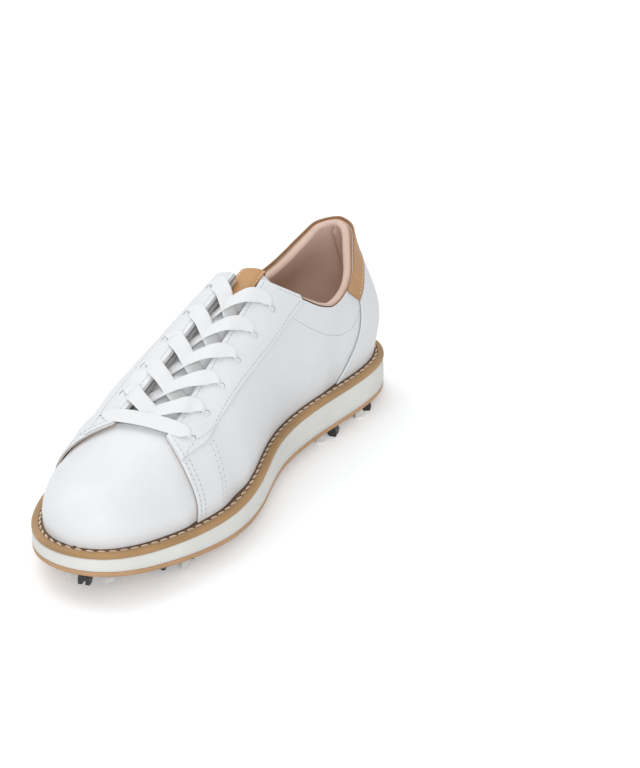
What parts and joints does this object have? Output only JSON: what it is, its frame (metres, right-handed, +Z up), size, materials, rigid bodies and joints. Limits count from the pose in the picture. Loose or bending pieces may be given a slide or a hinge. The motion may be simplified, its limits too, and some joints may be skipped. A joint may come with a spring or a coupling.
{
  "type": "golf shoe",
  "caption": "Leather golf shoe with open lacing, padded collar, stitched welt, two-layer sole and twist-in cleats.",
  "frame": {"origin": "centre of the sole on the ground that the cleats stand on", "axes": "+Z up; -Y towards the toe, +Y towards the heel; +X towards the medial side of a right foot"},
  "size_m": [0.104, 0.3, 0.1065],
  "materials": {
    "white_leather": "smooth full-grain, satin",
    "tan_leather": "smooth, satin",
    "welt_leather": "waxed edge, satin",
    "outsole_rubber": "matt",
    "midsole_foam": "matt, off-white",
    "socket_plastic": "moulded, matt",
    "cleat_black": "moulded, matt",
    "cleat_white": "moulded, matt",
    "thread": "waxed thread",
    "cork": "cork and latex",
    "steel": "spring steel",
    "board": "fibre board",
    "liner_leather": "thin lining leather",
    "lining": "soft lining leather",
    "stiffener": "thermoplastic sheet",
    "foam": "open-cell foam",
    "lace": "flat woven"
  },
  "bodies": {
    "shoe": {"outsole": "outsole_rubber", "midsole": "midsole_foam", "welt": "welt_leather", "welt_stitching": "thread", "filler": "cork", "shank": "steel", "insole_board": "board", "cleat_sockets": "socket_plastic", "vamp": "white_leather", "vamp_lining": "lining", "toe_puff": "stiffener", "quarter_medial": "white_leather", "quarter_lateral": "white_leather", "quarter_lining": "lining", "eyestay_medial": "white_leather", "eyestay_lateral": "white_leather", "heel_panel": "white_leather", "heel_stiffener": "stiffener", "collar_strip": "tan_leather", "collar_padding": "foam", "lace": "lace"},
    "tongue_flap": {"tongue": "white_leather", "tongue_padding": "foam", "tongue_lining": "lining", "tongue_tab": "tan_leather"},
    "liner": {"sock_liner": "liner_leather"},
    "cleat_body_1": {"cleat_1": "cleat_black", "cleat_1_legs": "cleat_white"},
    "cleat_body_2": {"cleat_2": "cleat_black", "cleat_2_legs": "cleat_white"},
    "cleat_body_3": {"cleat_3": "cleat_black", "cleat_3_legs": "cleat_white"},
    "cleat_body_4": {"cleat_4": "cleat_black", "cleat_4_legs": "cleat_white"},
    "cleat_body_5": {"cleat_5": "cleat_black", "cleat_5_legs": "cleat_white"},
    "cleat_body_6": {"cleat_6": "cleat_black", "cleat_6_legs": "cleat_white"},
    "cleat_body_7": {"cleat_7": "cleat_black", "cleat_7_legs": "cleat_white"},
    "cleat_body_8": {"cleat_8": "cleat_black", "cleat_8_legs": "cleat_white"},
    "cleat_body_9": {"cleat_9": "cleat_black", "cleat_9_legs": "cleat_white"}
  },
  "joints": [
    {"name": "tongue_hinge", "type": "hinge", "parent": "shoe", "child": "tongue_flap", "pos_m": [0, -0.074, 0.056], "axis": [1, 0, 0], "range_deg": [-8, 0]},
    {"name": "liner_lift", "type": "hinge", "parent": "shoe", "child": "liner", "pos_m": [0, -0.1385, 0.0305], "axis": [1, 0, 0], "range_deg": [0, 4]},
    {"name": "cleat_1_twist", "type": "hinge", "parent": "shoe", "child": "cleat_body_1", "pos_m": [0.00803, -0.13207, 0.01261], "axis": [0, 0.1452, 0.9894], "range_deg": [0, 60]},
    {"name": "cleat_2_twist", "type": "hinge", "parent": "shoe", "child": "cleat_body_2", "pos_m": [0.02813, -0.09507, 0.00829], "axis": [0, 0.0861, 0.9963], "range_deg": [0, 60]},
    {"name": "cleat_3_twist", "type": "hinge", "parent": "shoe", "child": "cleat_body_3", "pos_m": [-0.02363, -0.09707, 0.00847], "axis": [0, 0.0893, 0.996], "range_deg": [0, 60]},
    {"name": "cleat_4_twist", "type": "hinge", "parent": "shoe", "child": "cleat_body_4", "pos_m": [0.02863, -0.05207, 0.00608], "axis": [0, 0.0164, 0.9999], "range_deg": [0, 60]},
    {"name": "cleat_5_twist", "type": "hinge", "parent": "shoe", "child": "cleat_body_5", "pos_m": [-0.02966, -0.05207, 0.00608], "axis": [0, 0.0164, 0.9999], "range_deg": [0, 60]},
    {"name": "cleat_6_twist", "type": "hinge", "parent": "shoe", "child": "cleat_body_6", "pos_m": [0.02301, 0.06793, 0.006], "axis": [0, 0, 1], "range_deg": [0, 60]},
    {"name": "cleat_7_twist", "type": "hinge", "parent": "shoe", "child": "cleat_body_7", "pos_m": [-0.01961, 0.06993, 0.006], "axis": [0, 0, 1], "range_deg": [0, 60]},
    {"name": "cleat_8_twist", "type": "hinge", "parent": "shoe", "child": "cleat_body_8", "pos_m": [0.02511, 0.10294, 0.006], "axis": [0, 0, 1], "range_deg": [0, 60]},
    {"name": "cleat_9_twist", "type": "hinge", "parent": "shoe", "child": "cleat_body_9", "pos_m": [-0.0181, 0.10694, 0.006], "axis": [0, 0, 1], "range_deg": [0, 60]}
  ]
}
